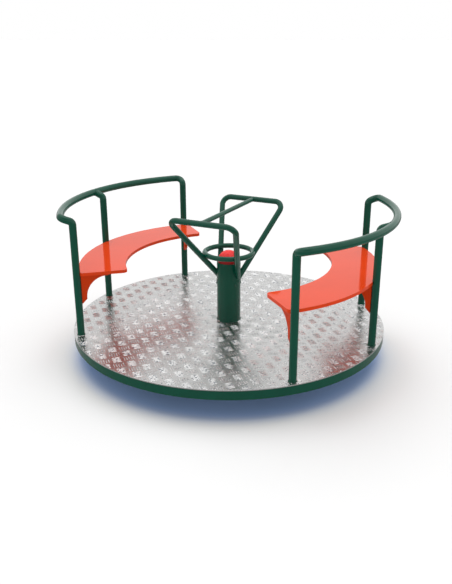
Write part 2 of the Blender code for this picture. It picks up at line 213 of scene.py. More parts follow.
class MaterialBench(NodeBench):
    """The node tree of one new material, with its textures and its shader."""

    def __init__(self, name: str) -> None:
        """Make the material.

        Args:
            name: the material's name.
        """
        self.material = bpy.data.materials.new(name)
        self.material.use_nodes = True
        super().__init__(self.material.node_tree, "Object")
        self.shader = self.tree.nodes["Principled BSDF"]

    def feed(self, **sources: Source) -> None:
        """Feed some of the shader's inputs, with underscores for spaces in their names."""
        self.wire(self.shader, **sources)

    def stretched(self, scale: tuple[float, float, float]) -> Socket:
        """Scale the piece's own coordinates by a factor along each axis."""
        return self.add("ShaderNodeMapping", Scale=scale, Vector=self.place).outputs["Vector"]

    def height(self) -> Socket:
        """Give the height in the piece's own coordinates."""
        return self.add("ShaderNodeSeparateXYZ", Vector=self.place).outputs["Z"]

    def noise(self, scale: float, detail: float, place: Socket | None = None) -> Socket:
        """Add a noise texture.

        Args:
            scale: how many grains fit in a metre.
            detail: the number of finer layers.
            place: coordinates, or None for the piece's own.

        Returns:
            The noise from 0 to 1.
        """
        texture = self.add("ShaderNodeTexNoise", Scale=scale, Detail=detail,
                           Vector=place or self.place)
        return texture.outputs[0]

    def crystals(self, scale: float) -> Socket:
        """Give a level that is even over each crystal, with so many crystals in a metre."""
        cells = self.add("ShaderNodeTexVoronoi", Scale=scale, Vector=self.place)
        return self.add("ShaderNodeRGBToBW", Color=cells.outputs["Color"]).outputs[0]

    def blend(self, share: Socket, first: Colour | Socket, second: Colour | Socket) -> Socket:
        """Mix two colours.

        Args:
            share: how much of the second colour shows.
            first: a colour or a colour socket.
            second: a colour or a colour socket.

        Returns:
            The mixed colour.
        """
        node = self.add("ShaderNodeMix")
        node.data_type = "RGBA"
        self.join(share, node.inputs[MIX_SHARE])
        for given, place in ((first, MIX_FIRST), (second, MIX_SECOND)):
            source = (*given, 1.0) if isinstance(given, tuple) else given
            self.join(source, node.inputs[place])
        return node.outputs[MIX_RESULT]

    def worn_edges(self, reach: float) -> Socket:
        """Find the edges of a piece.

        Args:
            reach: how far from an edge its wear still shows.

        Returns:
            1 on an edge and 0 on a flat.
        """
        rounded = self.add("ShaderNodeBevel", Radius=reach).outputs["Normal"]
        plain = self.add("ShaderNodeNewGeometry").outputs["Normal"]
        return self.spread(self.likeness(rounded, plain), FLAT_TO_EDGE, UNIT)

    def bump(self, height: Socket, strength: float, distance: float) -> None:
        """Raise the surface by a height, over any bumps that it has.

        Args:
            height: the height from 0 to 1.
            strength: how much of it shows.
            distance: the height of 1, in metres.
        """
        node = self.add("ShaderNodeBump", Height=height, Strength=strength, Distance=distance)
        for link in self.shader.inputs["Normal"].links:
            self.wire(node, Normal=link.from_socket)
        self.feed(Normal=node.outputs["Normal"])


@dataclass(frozen=True)
class Finish(ABC):
    """What the surface of a piece is made of."""

    name: str
    slot: str
    colour: Colour
    roughness: float

    @abstractmethod
    def dress(self, bench: MaterialBench) -> None:
        """Build the finish in a new material.

        Args:
            bench: the material's node tree.
        """

    def material(self) -> bpy.types.Material:
        """Give the material, which is made once.

        Returns:
            The material.
        """
        found = bpy.data.materials.get(self.name)
        if found is None:
            bench = MaterialBench(self.name)
            self.dress(bench)
            found = bench.material
        return found

    def scaled(self, factor: float) -> Colour:
        """Give the colour, lighter or darker by a factor."""
        return tuple(min(1.0, level * factor) for level in self.colour)

    def clouded(self, bench: MaterialBench, scale: float, detail: float,
                depth: float) -> Socket:
        """Vary the colour in soft clouds.

        Args:
            bench: the material's node tree.
            scale: how many clouds fit in a metre.
            detail: the number of finer layers.
            depth: how far the colour goes up and down, as a share of itself.

        Returns:
            The varied colour.
        """
        clouds = bench.spread(bench.noise(scale, detail), NOISE_MIDDLE, UNIT)
        return bench.blend(clouds, self.scaled(1.0 - depth), self.scaled(1.0 + depth))

    def dulled(self, bench: MaterialBench, marks: Socket, source: Span, extra: float) -> None:
        """Make the surface rougher where it is marked.

        Args:
            bench: the material's node tree.
            marks: the pattern of the marks.
            source: the levels of the pattern at which the marks start and are full.
            extra: how much roughness a full mark adds.
        """
        span = (self.roughness, self.roughness + extra)
        bench.feed(Roughness=bench.spread(marks, source, span))


@dataclass(frozen=True)
class PowderCoat(Finish):
    """Gloss powder coat: a little orange peel, faint clouding and thin edges."""

    gloss_level: float = 0.30
    cloud_scale: float = 7.0
    peel_scale: float = 620.0
    peel_height: float = 0.00006
    scuff_scale: float = 42.0
    edge_colour: Colour = (0.020, 0.110, 0.070)
    edge_reach: float = 0.0012

    def dress(self, bench: MaterialBench) -> None:
        """Build the finish in a new material.

        Args:
            bench: the material's node tree.
        """
        coat = self.clouded(bench, self.cloud_scale, detail=3.0, depth=0.08)
        patches = bench.noise(self.scuff_scale, detail=5.0)
        patchy = bench.spread(patches, source=(0.45, 0.65), target=(0.0, 0.45))
        thin = bench.product(bench.worn_edges(self.edge_reach), patchy)
        bench.feed(Base_Color=bench.blend(thin, coat, self.edge_colour))
        scuffs = bench.noise(self.scuff_scale, detail=6.0)
        self.dulled(bench, scuffs, source=(0.35, 0.75), extra=0.10)
        peel = bench.noise(self.peel_scale, detail=1.0)
        bench.bump(peel, strength=0.35, distance=self.peel_height)
        bench.feed(Specular_IOR_Level=self.gloss_level)


@dataclass(frozen=True)
class BoardPlastic(Finish):
    """Polished plastic board: deep colour, faint waviness and rubbed edges."""

    gloss_level: float = 0.20
    cloud_scale: float = 4.8
    rub_scale: float = 60.0
    smear_scale: float = 24.0
    wave_scale: float = 16.0
    wave_height: float = 0.0002
    grain_scale: float = 900.0
    grain_height: float = 0.00002
    edge_colour: Colour = (0.56, 0.080, 0.022)
    edge_reach: float = 0.0020

    def dress(self, bench: MaterialBench) -> None:
        """Build the finish in a new material.

        Args:
            bench: the material's node tree.
        """
        board = self.clouded(bench, self.cloud_scale, detail=4.0, depth=0.05)
        patches = bench.noise(self.rub_scale, detail=4.0)
        patchy = bench.spread(patches, source=(0.4, 0.7), target=(0.1, 0.6))
        rubbed = bench.product(bench.worn_edges(self.edge_reach), patchy)
        bench.feed(Base_Color=bench.blend(rubbed, board, self.edge_colour))
        smears = bench.noise(self.smear_scale, detail=6.0)
        self.dulled(bench, smears, source=(0.35, 0.8), extra=0.07)
        waves = bench.noise(self.wave_scale, detail=1.0)
        bench.bump(waves, strength=0.20, distance=self.wave_height)
        grain = bench.noise(self.grain_scale, detail=1.0)
        bench.bump(grain, strength=0.10, distance=self.grain_height)
        bench.feed(Specular_IOR_Level=self.gloss_level)


@dataclass(frozen=True)
class TreadAluminium(Finish):
    """Bright rolled aluminium: fine rolling lines, dull smears, a soft mirror and, where asked,
    dark flecks of painted shade.
    """

    rolled_along: tuple[float, float, float] = (6.0, 520.0, 520.0)
    line_height: float = 0.00002
    smear_scale: float = 9.0
    scratch_scale: float = 27.0
    # Dark bluish flecks of painted shade and painted dark reflection, standing in for the far
    # slopes of the tread bars.
    shade_fleck_scale: float = 130.0
    shade_fleck_strength: float = 0.0
    shade_fleck_colour: Colour = (0.06, 0.08, 0.12)

    def dress(self, bench: MaterialBench) -> None:
        """Build the finish in a new material.

        Args:
            bench: the material's node tree.
        """
        metal = self.clouded(bench, self.smear_scale, detail=6.0, depth=0.05)
        # Painted shade: dark bluish flecks are mixed into the metal's colour.
        if self.shade_fleck_strength:
            shade_specks = bench.noise(self.shade_fleck_scale, detail=2.0)
            shade_flecks = bench.spread(shade_specks, source=(0.53, 0.60),
                                  target=(0.0, self.shade_fleck_strength))
            metal = bench.blend(shade_flecks, metal, self.shade_fleck_colour)
        bench.feed(Base_Color=metal)
        scratches = bench.noise(self.scratch_scale, detail=5.0)
        self.dulled(bench, scratches, source=(0.35, 0.75), extra=0.07)
        lines = bench.noise(1.0, detail=3.0, place=bench.stretched(self.rolled_along))
        bench.bump(lines, strength=0.25, distance=self.line_height)
        bench.feed(Metallic=1.0)


@dataclass(frozen=True)
class MouldedCap(Finish):
    """Moulded gloss plastic with a faint mould texture, and painted shade that darkens it round
    its foot.
    """

    gloss_level: float = 0.28
    cloud_scale: float = 30.0
    scuff_scale: float = 55.0
    grain_scale: float = 700.0
    grain_height: float = 0.00003
    foot_z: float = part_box("column_cap")[0].z
    # Painted shade: from the cap's foot up to these heights its colour is darkened, standing in
    # for the shade round its foot and under the grip ring.
    foot_shade_heights: Span = (0.010, 0.030)
    foot_shade_share: float = 0.85
    foot_shade_level: float = 0.25

    def dress(self, bench: MaterialBench) -> None:
        """Build the finish in a new material.

        Args:
            bench: the material's node tree.
        """
        unshaded_plastic = self.clouded(bench, self.cloud_scale, detail=4.0, depth=0.06)
        # Painted shade: the colour darkens towards the cap's foot.
        low, high = (self.foot_z + height for height in self.foot_shade_heights)
        foot_shade = bench.spread(bench.height(), (low, high), (self.foot_shade_share, 0.0))
        bench.feed(Base_Color=bench.blend(foot_shade, unshaded_plastic, self.scaled(self.foot_shade_level)))
        scuffs = bench.noise(self.scuff_scale, detail=6.0)
        self.dulled(bench, scuffs, source=(0.4, 0.8), extra=0.12)
        grain = bench.noise(self.grain_scale, detail=1.0)
        bench.bump(grain, strength=0.12, distance=self.grain_height)
        bench.feed(Specular_IOR_Level=self.gloss_level)


@dataclass(frozen=True)
class TurnedSteel(Finish):
    """Bare turned steel: tool rings and a few stains."""

    ring_stretch: tuple[float, float, float] = (4.0, 4.0, 900.0)
    ring_height: float = 0.00004
    stain_scale: float = 28.0
    stain_level: float = 0.55

    def dress(self, bench: MaterialBench) -> None:
        """Build the finish in a new material.

        Args:
            bench: the material's node tree.
        """
        spots = bench.noise(self.stain_scale, detail=6.0)
        stains = bench.spread(spots, source=(0.45, 0.75), target=(0.0, 0.6))
        bench.feed(Base_Color=bench.blend(stains, self.colour, self.scaled(self.stain_level)))
        rings = bench.noise(1.0, detail=3.0, place=bench.stretched(self.ring_stretch))
        self.dulled(bench, rings, source=NOISE_MIDDLE, extra=0.15)
        bench.bump(rings, strength=0.4, distance=self.ring_height)
        bench.feed(Metallic=1.0)


@dataclass(frozen=True)
class ZincPlate(Finish):
    """Hot-dip zinc on fasteners: crystals of slightly different greys."""

    spangle_scale: float = 260.0
    spangle_levels: Span = (0.8, 1.15)
    grain_scale: float = 500.0
    grain_height: float = 0.00005

    def dress(self, bench: MaterialBench) -> None:
        """Build the finish in a new material.

        Args:
            bench: the material's node tree.
        """
        spangle = bench.crystals(self.spangle_scale)
        dark, light = (self.scaled(level) for level in self.spangle_levels)
        bench.feed(Base_Color=bench.blend(spangle, dark, light))
        self.dulled(bench, spangle, source=(0.2, 0.8), extra=0.2)
        grain = bench.noise(self.grain_scale, detail=2.0)
        bench.bump(grain, strength=0.3, distance=self.grain_height)
        bench.feed(Metallic=1.0)


GREEN_COAT = PowderCoat("green_powder_coat", "green_paint", (0.0018, 0.0660, 0.0385), 0.11)
ORANGE_GLOSS = BoardPlastic("orange_gloss_board", "orange_board", (0.690, 0.050, 0.0060), 0.05)
# The gussets are a darker copy of the seat's orange: painted shade for the shadow under the seat
# board.
SHADED_ORANGE_GUSSET = BoardPlastic("shaded_orange_gusset_board", "orange_board", (0.560, 0.040, 0.0030), 0.09,
                             edge_colour=(0.50, 0.050, 0.010), gloss_level=0.12)
BRIGHT_TREAD = TreadAluminium("bright_tread_plate", "tread_metal", (0.575, 0.575, 0.57), 0.24)
# The bars are a lighter copy of the plate's aluminium, a painted sheen for the overhead light
# that they catch, with flecks of painted shade; their scratches are real wear.
TREAD_BARS = TreadAluminium("worn_tread_bars", "tread_metal", (0.80, 0.80, 0.797), 0.25,
                            shade_fleck_strength=1.0)
RED_PLASTIC = MouldedCap("red_cap_plastic", "red_cap", (0.86, 0.026, 0.026), 0.12)
BARE_SPINDLE = TurnedSteel("turned_spindle_steel", "spindle_steel", (0.42, 0.42, 0.43), 0.28)
ANCHOR_ZINC = ZincPlate("anchor_zinc", "spindle_steel", (0.55, 0.56, 0.57), 0.32)


# Paths


def polar(radius: float, angle: float, height: float) -> Vector:
    """Give the point at a radius and an angle about the spin axis."""
    return Vector((radius * math.cos(angle), radius * math.sin(angle), height))


def circle(radius: float, height: float, steps: int, centre: Vector = ORIGIN) -> Path:
    """Trace a level circle.

    Args:
        radius: its radius.
        height: its height above the centre.
        steps: how many points it has.
        centre: the point that it goes round.

    Returns:
        The points.
    """
    return [centre + polar(radius, FULL_TURN * step / steps, height) for step in range(steps)]


def arc(radius: float, end: float, height: float, steps: int) -> Path:
    """Trace a level arc about the spin axis, as far to one side of +X as to the other.

    Args:
        radius: its radius.
        end: the angle from +X to its end.
        height: its height.
        steps: how many steps it has.

    Returns:
        The points.
    """
    return [polar(radius, end * (2.0 * step / steps - 1.0), height)
            for step in range(steps + 1)]


def bent(corners: Path, radii: Sequence[float], steps: int = 14) -> Path:
    """Round the inner corners of a path, as a tube bender does.

    Args:
        corners: the path's corners, ends included.
        radii: the bend radius at each inner corner, or 0 for none.
        steps: how many steps a bend has.

    Returns:
        The rounded path.
    """
    path = [corners[0]]
    for before, corner, after, radius in zip(corners, corners[1:], corners[2:], radii):
        if radius == 0.0:
            path.append(corner)
            continue
        back = (before - corner).normalized()
        ahead = (after - corner).normalized()
        half = back.angle(ahead) / 2.0
        centre = corner + (back + ahead).normalized() * radius / math.sin(half)
        first = corner + back * radius / math.tan(half) - centre
        last = corner + ahead * radius / math.tan(half) - centre
        sweep = first.angle(last)
        for step in range(steps + 1):
            done = sweep * step / steps
            aim = first * math.sin(sweep - done) + last * math.sin(done)
            path.append(centre + aim / math.sin(sweep))
    path.append(corners[-1])
    return path


def carried_normals(path: Path, closed: bool) -> list[tuple[Vector, Vector]]:
    """Carry a pair of directions along a path without twist.

    Args:
        path: the path.
        closed: whether it runs back to its start.

    Returns:
        Two directions at right angles to the path, for each of its points.
    """
    count = len(path)
    tangents = []
    for index in range(count):
        before = path[index - 1] if closed or index else path[0]
        after = path[(index + 1) % count] if closed or index < count - 1 else path[-1]
        tangents.append((after - before).normalized())
    side = tangents[0].orthogonal().normalized()
    sides = [side]
    loop = tangents + tangents[:1] if closed else tangents
    for before, after in zip(loop, loop[1:]):
        side = before.rotation_difference(after) @ side
        sides.append(side)
    slack = 0.0
    if closed:
        start = sides[0]
        end = sides.pop()
        slack = math.atan2(tangents[0].dot(end.cross(start)), end.dot(start))
    pairs = []
    for index, (side, along) in enumerate(zip(sides, tangents)):
        turned = Matrix.Rotation(slack * index / count, 3, along) @ side
        pairs.append((turned, along.cross(turned)))
    return pairs


def joint_seam(start: Vector, along: Vector, radius: float,
               depth: Callable[[Vector], float], reach: float, steps: int = 48) -> Path:
    """Find the seam where a tube runs into another surface.

    Args:
        start: a point on the tube's axis outside the other surface.
        along: the tube's direction, towards the other surface.
        radius: the tube's radius.
        depth: how far a point is inside the other surface; negative is outside.
        reach: the length of tube that is searched.
        steps: how many points the seam has.

    Returns:
        The points of the seam.
    """
    halvings = 30
    side = along.orthogonal().normalized()
    other = along.cross(side).normalized()
    seam = []
    for step in range(steps):
        angle = FULL_TURN * step / steps
        rim = start + (side * math.cos(angle) + other * math.sin(angle)) * radius
        low, high = 0.0, reach
        for _ in range(halvings):
            middle = (low + high) / 2.0
            if depth(rim + along * middle) > 0.0:
                high = middle
            else:
                low = middle
        seam.append(rim + along * low)
    return seam


# Shapes


def tube_shape(path: Path, radius: float | Sequence[float], sides: int = 32,
               closed: bool = False) -> Shape:
    """Make a round tube along a path.

    Args:
        path: the centreline.
        radius: the tube's radius, or one for each point of the path.
        sides: how many sides the tube has.
        closed: whether the path runs back to its start.

    Returns:
        The tube, with closed ends where the path is open.
    """
    shape = bmesh.new()
    radii = [radius] * len(path) if isinstance(radius, float) else radius
    rings = []
    for point, (side, other), reach in zip(path, carried_normals(path, closed), radii):
        ring = []
        for step in range(sides):
            angle = FULL_TURN * step / sides
            offset = side * math.cos(angle) + other * math.sin(angle)
            ring.append(shape.verts.new(point + offset * reach))
        rings.append(ring)
    pairs = list(zip(rings, rings[1:]))
    if closed:
        pairs.append((rings[-1], rings[0]))
    for lower, upper in pairs:
        for step in range(sides):
            following = (step + 1) % sides
            shape.faces.new((lower[step], lower[following], upper[following], upper[step]))
    if not closed:
        shape.faces.new(reversed(rings[0]))
        shape.faces.new(rings[-1])
    return shape


def turned_shape(profile: Sequence[tuple[float, float]], steps: int = ROUND_STEPS) -> Shape:
    """Turn a closed profile about the spin axis.

    Args:
        profile: (radius, height) corners; a radius of 0 is on the axis.
        steps: how many steps there are round the axis.

    Returns:
        The turned shape.
    """
    shape = bmesh.new()
    columns = []
    for radius, height in profile:
        if radius == 0.0:
            columns.append([shape.verts.new((0.0, 0.0, height))] * steps)
        else:
            columns.append([shape.verts.new(point) for point in circle(radius, height, steps)])
    pairs = list(zip(columns, columns[1:]))
    if profile[0][0] > 0.0:
        pairs.append((columns[-1], columns[0]))
    for first, second in pairs:
        for step in range(steps):
            following = (step + 1) % steps
            corners = [first[step], first[following], second[following], second[step]]
            shape.faces.new(list(dict.fromkeys(corners)))
    bmesh.ops.recalc_face_normals(shape, faces=shape.faces)
    return shape


def disc_shape(radius: float, foot: float, top: float, steps: int = ROUND_STEPS) -> Shape:
    """Make a round disc or rod on the spin axis.

    Args:
        radius: its radius.
        foot: the height of its underside.
        top: the height of its top.
        steps: how many steps there are round the axis.

    Returns:
        The disc.
    """
    return turned_shape([(0.0, top), (radius, top), (radius, foot), (0.0, foot)], steps)


def ring_shape(radius: float, inner_radius: float, foot: float, top: float,
               steps: int = ROUND_STEPS) -> Shape:
    """Make a ring or pipe of square section about the spin axis.

    Args:
        radius: its outer radius.
        inner_radius: the radius of its bore.
        foot: the height of its underside.
        top: the height of its top.
        steps: how many steps there are round the axis.

    Returns:
        The ring.
    """
    return turned_shape([(radius, top), (radius, foot), (inner_radius, foot),
                         (inner_radius, top)], steps)


def board_shape(outline: Sequence[Vector], thickness: Vector) -> Shape:
    """Make a flat board from its outline.

    Args:
        outline: the corners of one face, in order.
        thickness: the step from that face to the other one.

    Returns:
        The board.
    """
    shape = bmesh.new()
    near = [shape.verts.new(point) for point in outline]
    far = [shape.verts.new(point + thickness) for point in outline]
    shape.faces.new(near)
    shape.faces.new(list(reversed(far)))
    for index in range(len(near)):
        following = (index + 1) % len(near)
        shape.faces.new((near[index], far[index], far[following], near[following]))
    bmesh.ops.recalc_face_normals(shape, faces=shape.faces)
    return shape


def hex_prism(centre: Vector, across_flats: float, height: float) -> Shape:
    """Make an upright hexagonal block, as a nut is.

    Args:
        centre: the middle of its underside.
        across_flats: the distance between two flats.
        height: its height.

    Returns:
        The block.
    """
    reach = across_flats / math.sqrt(3.0)
    return board_shape(circle(reach, 0.0, 6, centre), UP * height)


def add_to_scene(name: str, data: bpy.types.ID) -> bpy.types.Object:
    """Put a mesh, a light or a camera into the scene.

    Args:
        name: the name of its object.
        data: the mesh, light or camera.

    Returns:
        The object.
    """
    item = bpy.data.objects.new(name, data)
    bpy.context.scene.collection.objects.link(item)
    return item


def mesh_object(name: str, shape: Shape) -> bpy.types.Object:
    """Make an object from a shape, which is kept.

    Args:
        name: the object's name.
        shape: the shape.

    Returns:
        The object.
    """
    mesh = bpy.data.meshes.new(name)
    shape.to_mesh(mesh)
    return add_to_scene(name, mesh)


def cut(shape: Shape, cutters: Sequence[Shape]) -> None:
    """Cut shapes out of a shape.

    Args:
        shape: the shape, which is changed.
        cutters: the shapes that are cut from it, which are used up.
    """
    item = mesh_object("blank", shape)
    tools = []
    for cutter in cutters:
        tool = mesh_object("cutter", cutter)
        cutter.free()
        cutting = item.modifiers.new("cut", "BOOLEAN")
        cutting.operation = "DIFFERENCE"
        cutting.object = tool
        tools.append(tool)
    bpy.context.view_layer.update()
    result = item.evaluated_get(bpy.context.evaluated_depsgraph_get())
    mesh = bpy.data.meshes.new_from_object(result)
    shape.clear()
    shape.from_mesh(mesh)
    bmesh.ops.remove_doubles(shape, verts=shape.verts, dist=WELD_DISTANCE)
    bpy.data.meshes.remove(mesh)
    for helper in [item, *tools]:
        bpy.data.meshes.remove(helper.data, do_unlink=True)


@dataclass(frozen=True)
class WeldBead:
    """A painted weld bead with the ripples of its passes."""

    reach: float = 0.0022
    ripple: float = 0.14
    spacing: float = 0.0014
    ripples_per_point: float = 0.5
    fewest_points: int = 6
    foot_rise: float = 0.2
    sides: int = 8

    def along(self, path: Path, closed: bool = True) -> Shape:
        """Lay the bead along a path.

        Args:
            path: the seam.
            closed: whether the seam runs back to its start.

        Returns:
            The bead.
        """
        points = self.resampled(path, closed)
        radii = []
        for index in range(len(points)):
            wave = abs(math.sin(math.pi * self.ripples_per_point * index))
            radii.append(self.reach * (1.0 - self.ripple + self.ripple * wave))
        return tube_shape(points, radii, self.sides, closed)

    def round_foot(self, centre: Vector, radius: float, steps: int, off: float) -> Shape:
        """Lay the bead round the foot of an upright tube.

        Args:
            centre: the middle of the tube's foot.
            radius: the tube's radius.
            steps: how many corners the seam has.
            off: how far the seam is off the tube, as a share of the bead's reach.

        Returns:
            The bead.
        """
        seam = circle(radius + self.reach * off, self.reach * self.foot_rise, steps, centre)
        return self.along(seam)

    def resampled(self, path: Path, closed: bool) -> Path:
        """Give points at an even spacing along a path.

        Args:
            path: the path.
            closed: whether it runs back to its start.

        Returns:
            The points.
        """
        loop = path + path[:1] if closed else path
        lengths = [(after - before).length for before, after in zip(loop, loop[1:])]
        count = max(self.fewest_points, round(sum(lengths) / self.spacing))
        points = []
        for index in range(count if closed else count + 1):
            left = sum(lengths) * index / count
            place = 0
            while place < len(lengths) - 1 and left > lengths[place]:
                left -= lengths[place]
                place += 1
            share = left / lengths[place] if lengths[place] else 0.0
            points.append(loop[place].lerp(loop[place + 1], min(share, 1.0)))
        return points


# The roundabout


@dataclass(frozen=True)
class Levels:
    """Heights and radii that several sub-assemblies share, most of them from the frame."""

    deck_z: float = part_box("tread_plate")[1].z
    deck_underside_z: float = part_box("tread_plate")[0].z
    deck_radius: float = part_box("tread_plate")[1].x
    rim_radius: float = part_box("rim_ring")[1].x
    rim_top_z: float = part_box("rim_ring")[1].z
    rim_underside_z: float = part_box("rim_ring")[0].z
    column_radius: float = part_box("centre_column")[1].x
    column_top_z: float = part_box("centre_column")[1].z
    column_foot_z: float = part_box("centre_column")[0].z
    post_circle: float = 0.7185
    post_radius: float = 0.01685
    post_angle: float = math.radians(42.6)

    def post_turn(self, place: PostPlace) -> float:
        """Give the angle from the middle of a bench to one of its posts."""
        return self.post_angle * place.value

    def post_point(self, place: PostPlace, height: float) -> Vector:
        """Give the point on a post's axis at a height, for a bench on the +X side."""
        return polar(self.post_circle, self.post_turn(place), height)

    def depth_in_column(self, point: Vector) -> float:
        """Give the depth of a point inside the column's outside."""
        return self.column_radius - point.to_2d().length


LEVELS = Levels()
BEAD = WeldBead()


@dataclass
class SubAssembly(ABC):
    """Turns shapes into the pieces of one sub-assembly and fixes them to its body."""

    body: ClassVar[Body] = Body.PLATFORM
    made: list[str] = field(default_factory=list, init=False)

    @abstractmethod
    def build(self) -> None:
        """Build every piece of the sub-assembly."""

    def piece(self, name: str, shape: Shape, finish: Finish, nodes: Sequence[str] = (),
              turn: float = 0.0, edge: float = 0.0) -> None:
        """Make one piece, which rides on the sub-assembly's body.

        Args:
            name: its name.
            shape: its shape, which is used up.
            finish: its finish.
            nodes: the plain solids that it stands for.
            turn: the angle that it is turned about the spin axis.
            edge: the width of its rounded edges, or 0 for none.
        """
        if turn:
            bmesh.ops.rotate(shape, verts=shape.verts, cent=ORIGIN,
                             matrix=Matrix.Rotation(turn, 3, "Z"))
        item = mesh_object(name, shape)
        shape.free()
        item.data.shade_smooth()
        item.data.set_sharp_from_angle(angle=SMOOTH_BELOW)
        item.data.materials.append(finish.material())
        if edge:
            self.round_edges(item, edge)
        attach(item, self.body.value)
        if nodes:
            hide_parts(*nodes)
        self.made.append(name)

    def round_edges(self, item: bpy.types.Object, width: float) -> None:
        """Round the sharp edges of a piece.

        Args:
            item: the piece.
            width: how far each edge is taken back.
        """
        rounding = item.modifiers.new("rounded_edges", "BEVEL")
        rounding.width = width
        rounding.segments = EDGE_SEGMENTS
        rounding.limit_method = "ANGLE"
        rounding.angle_limit = SMOOTH_BELOW
        rounding.harden_normals = True
        rounding.use_clamp_overlap = True

    def redress(self, nodes: Sequence[str], finish: Finish) -> None:
        """Give plain solids that keep their shape a better finish.

        Args:
            nodes: their names.
            finish: the finish.
        """
        for node in nodes:
            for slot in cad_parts[node].material_slots:
                slot.material = finish.material()
            self.made.append(node)


@dataclass
class GroundFrame(SubAssembly):
    """The fixed foot: flange, gussets, spindle, bearings and anchors."""

    body: ClassVar[Body] = Body.GROUND
    flange_radius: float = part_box("ground_flange")[1].x
    flange_top_z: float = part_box("ground_flange")[1].z
    flange_edge: float = 0.0015
    gusset_count: int = 4
    gusset_thickness: float = 0.008
    gusset_start: float = 0.0638
    gusset_length: float = 0.100
    gusset_height: float = 0.034
    gusset_toe: float = 0.006
    gusset_edge: float = 0.0008
    anchor_count: int = 4
    anchor_circle: float = 0.168
    anchor_steps: int = 32
    washer_radius: float = 0.017
    washer_height: float = 0.003
    washer_edge: float = 0.0004
    nut_across: float = 0.024
    nut_height: float = 0.013
    stud_radius: float = 0.008
    stud_top: float = 0.025
    thread_edge: float = 0.0012

    def build(self) -> None:
        """Build every fixed piece."""
        flange = disc_shape(self.flange_radius, 0.0, self.flange_top_z)
        self.piece("foot_flange", flange, GREEN_COAT, ["ground_flange"], edge=self.flange_edge)
        self.build_gussets()
        self.build_anchors()
        self.redress(["spindle", "lower_bearing", "upper_bearing"], BARE_SPINDLE)

    def build_gussets(self) -> None:
        """Build the gussets that brace the pedestal, and their weld beads."""
        foot = self.flange_top_z
        end = self.gusset_start + self.gusset_length
        profile = [(self.gusset_start, 0.0), (end, 0.0), (end, self.gusset_toe),
                   (self.gusset_start + self.gusset_toe, self.gusset_height),
                   (self.gusset_start, self.gusset_height)]
        seam = [(self.gusset_start, self.gusset_height), (self.gusset_start, 0.0), (end, 0.0)]
        half = self.gusset_thickness / 2.0
        for index in range(self.gusset_count):
            number = index + 1
            turn = (index + 0.5) * FULL_TURN / self.gusset_count
            outline = [Vector((across, -half, foot + rise)) for across, rise in profile]
            gusset = board_shape(outline, Vector((0.0, self.gusset_thickness, 0.0)))
            self.piece(f"foot_gusset_{number}", gusset, GREEN_COAT,
                       [f"flange_gusset_{number}"], turn, self.gusset_edge)
            for side, word in ((-half, "right"), (half, "left")):
                corners = [Vector((across, side, foot + rise)) for across, rise in seam]
                self.piece(f"foot_gusset_bead_{number}_{word}",
                           BEAD.along(corners, closed=False), GREEN_COAT, turn=turn)

    def build_anchors(self) -> None:
        """Build the anchor studs with their nuts and washers."""
        feet = circle(self.anchor_circle, self.flange_top_z, self.anchor_count)
        for number, foot in enumerate(feet, 1):
            washer = disc_shape(self.washer_radius, 0.0, self.washer_height, self.anchor_steps)
            stud = disc_shape(self.stud_radius, 0.0, self.stud_top, self.anchor_steps)
            for shape in (washer, stud):
                bmesh.ops.translate(shape, vec=foot, verts=shape.verts)
            nut = hex_prism(foot + UP * self.washer_height, self.nut_across, self.nut_height)
            self.piece(f"anchor_washer_{number}", washer, ANCHOR_ZINC, edge=self.washer_edge)
            self.piece(f"anchor_nut_{number}", nut, ANCHOR_ZINC, edge=self.thread_edge)
            self.piece(f"anchor_stud_{number}", stud, ANCHOR_ZINC, edge=self.thread_edge)


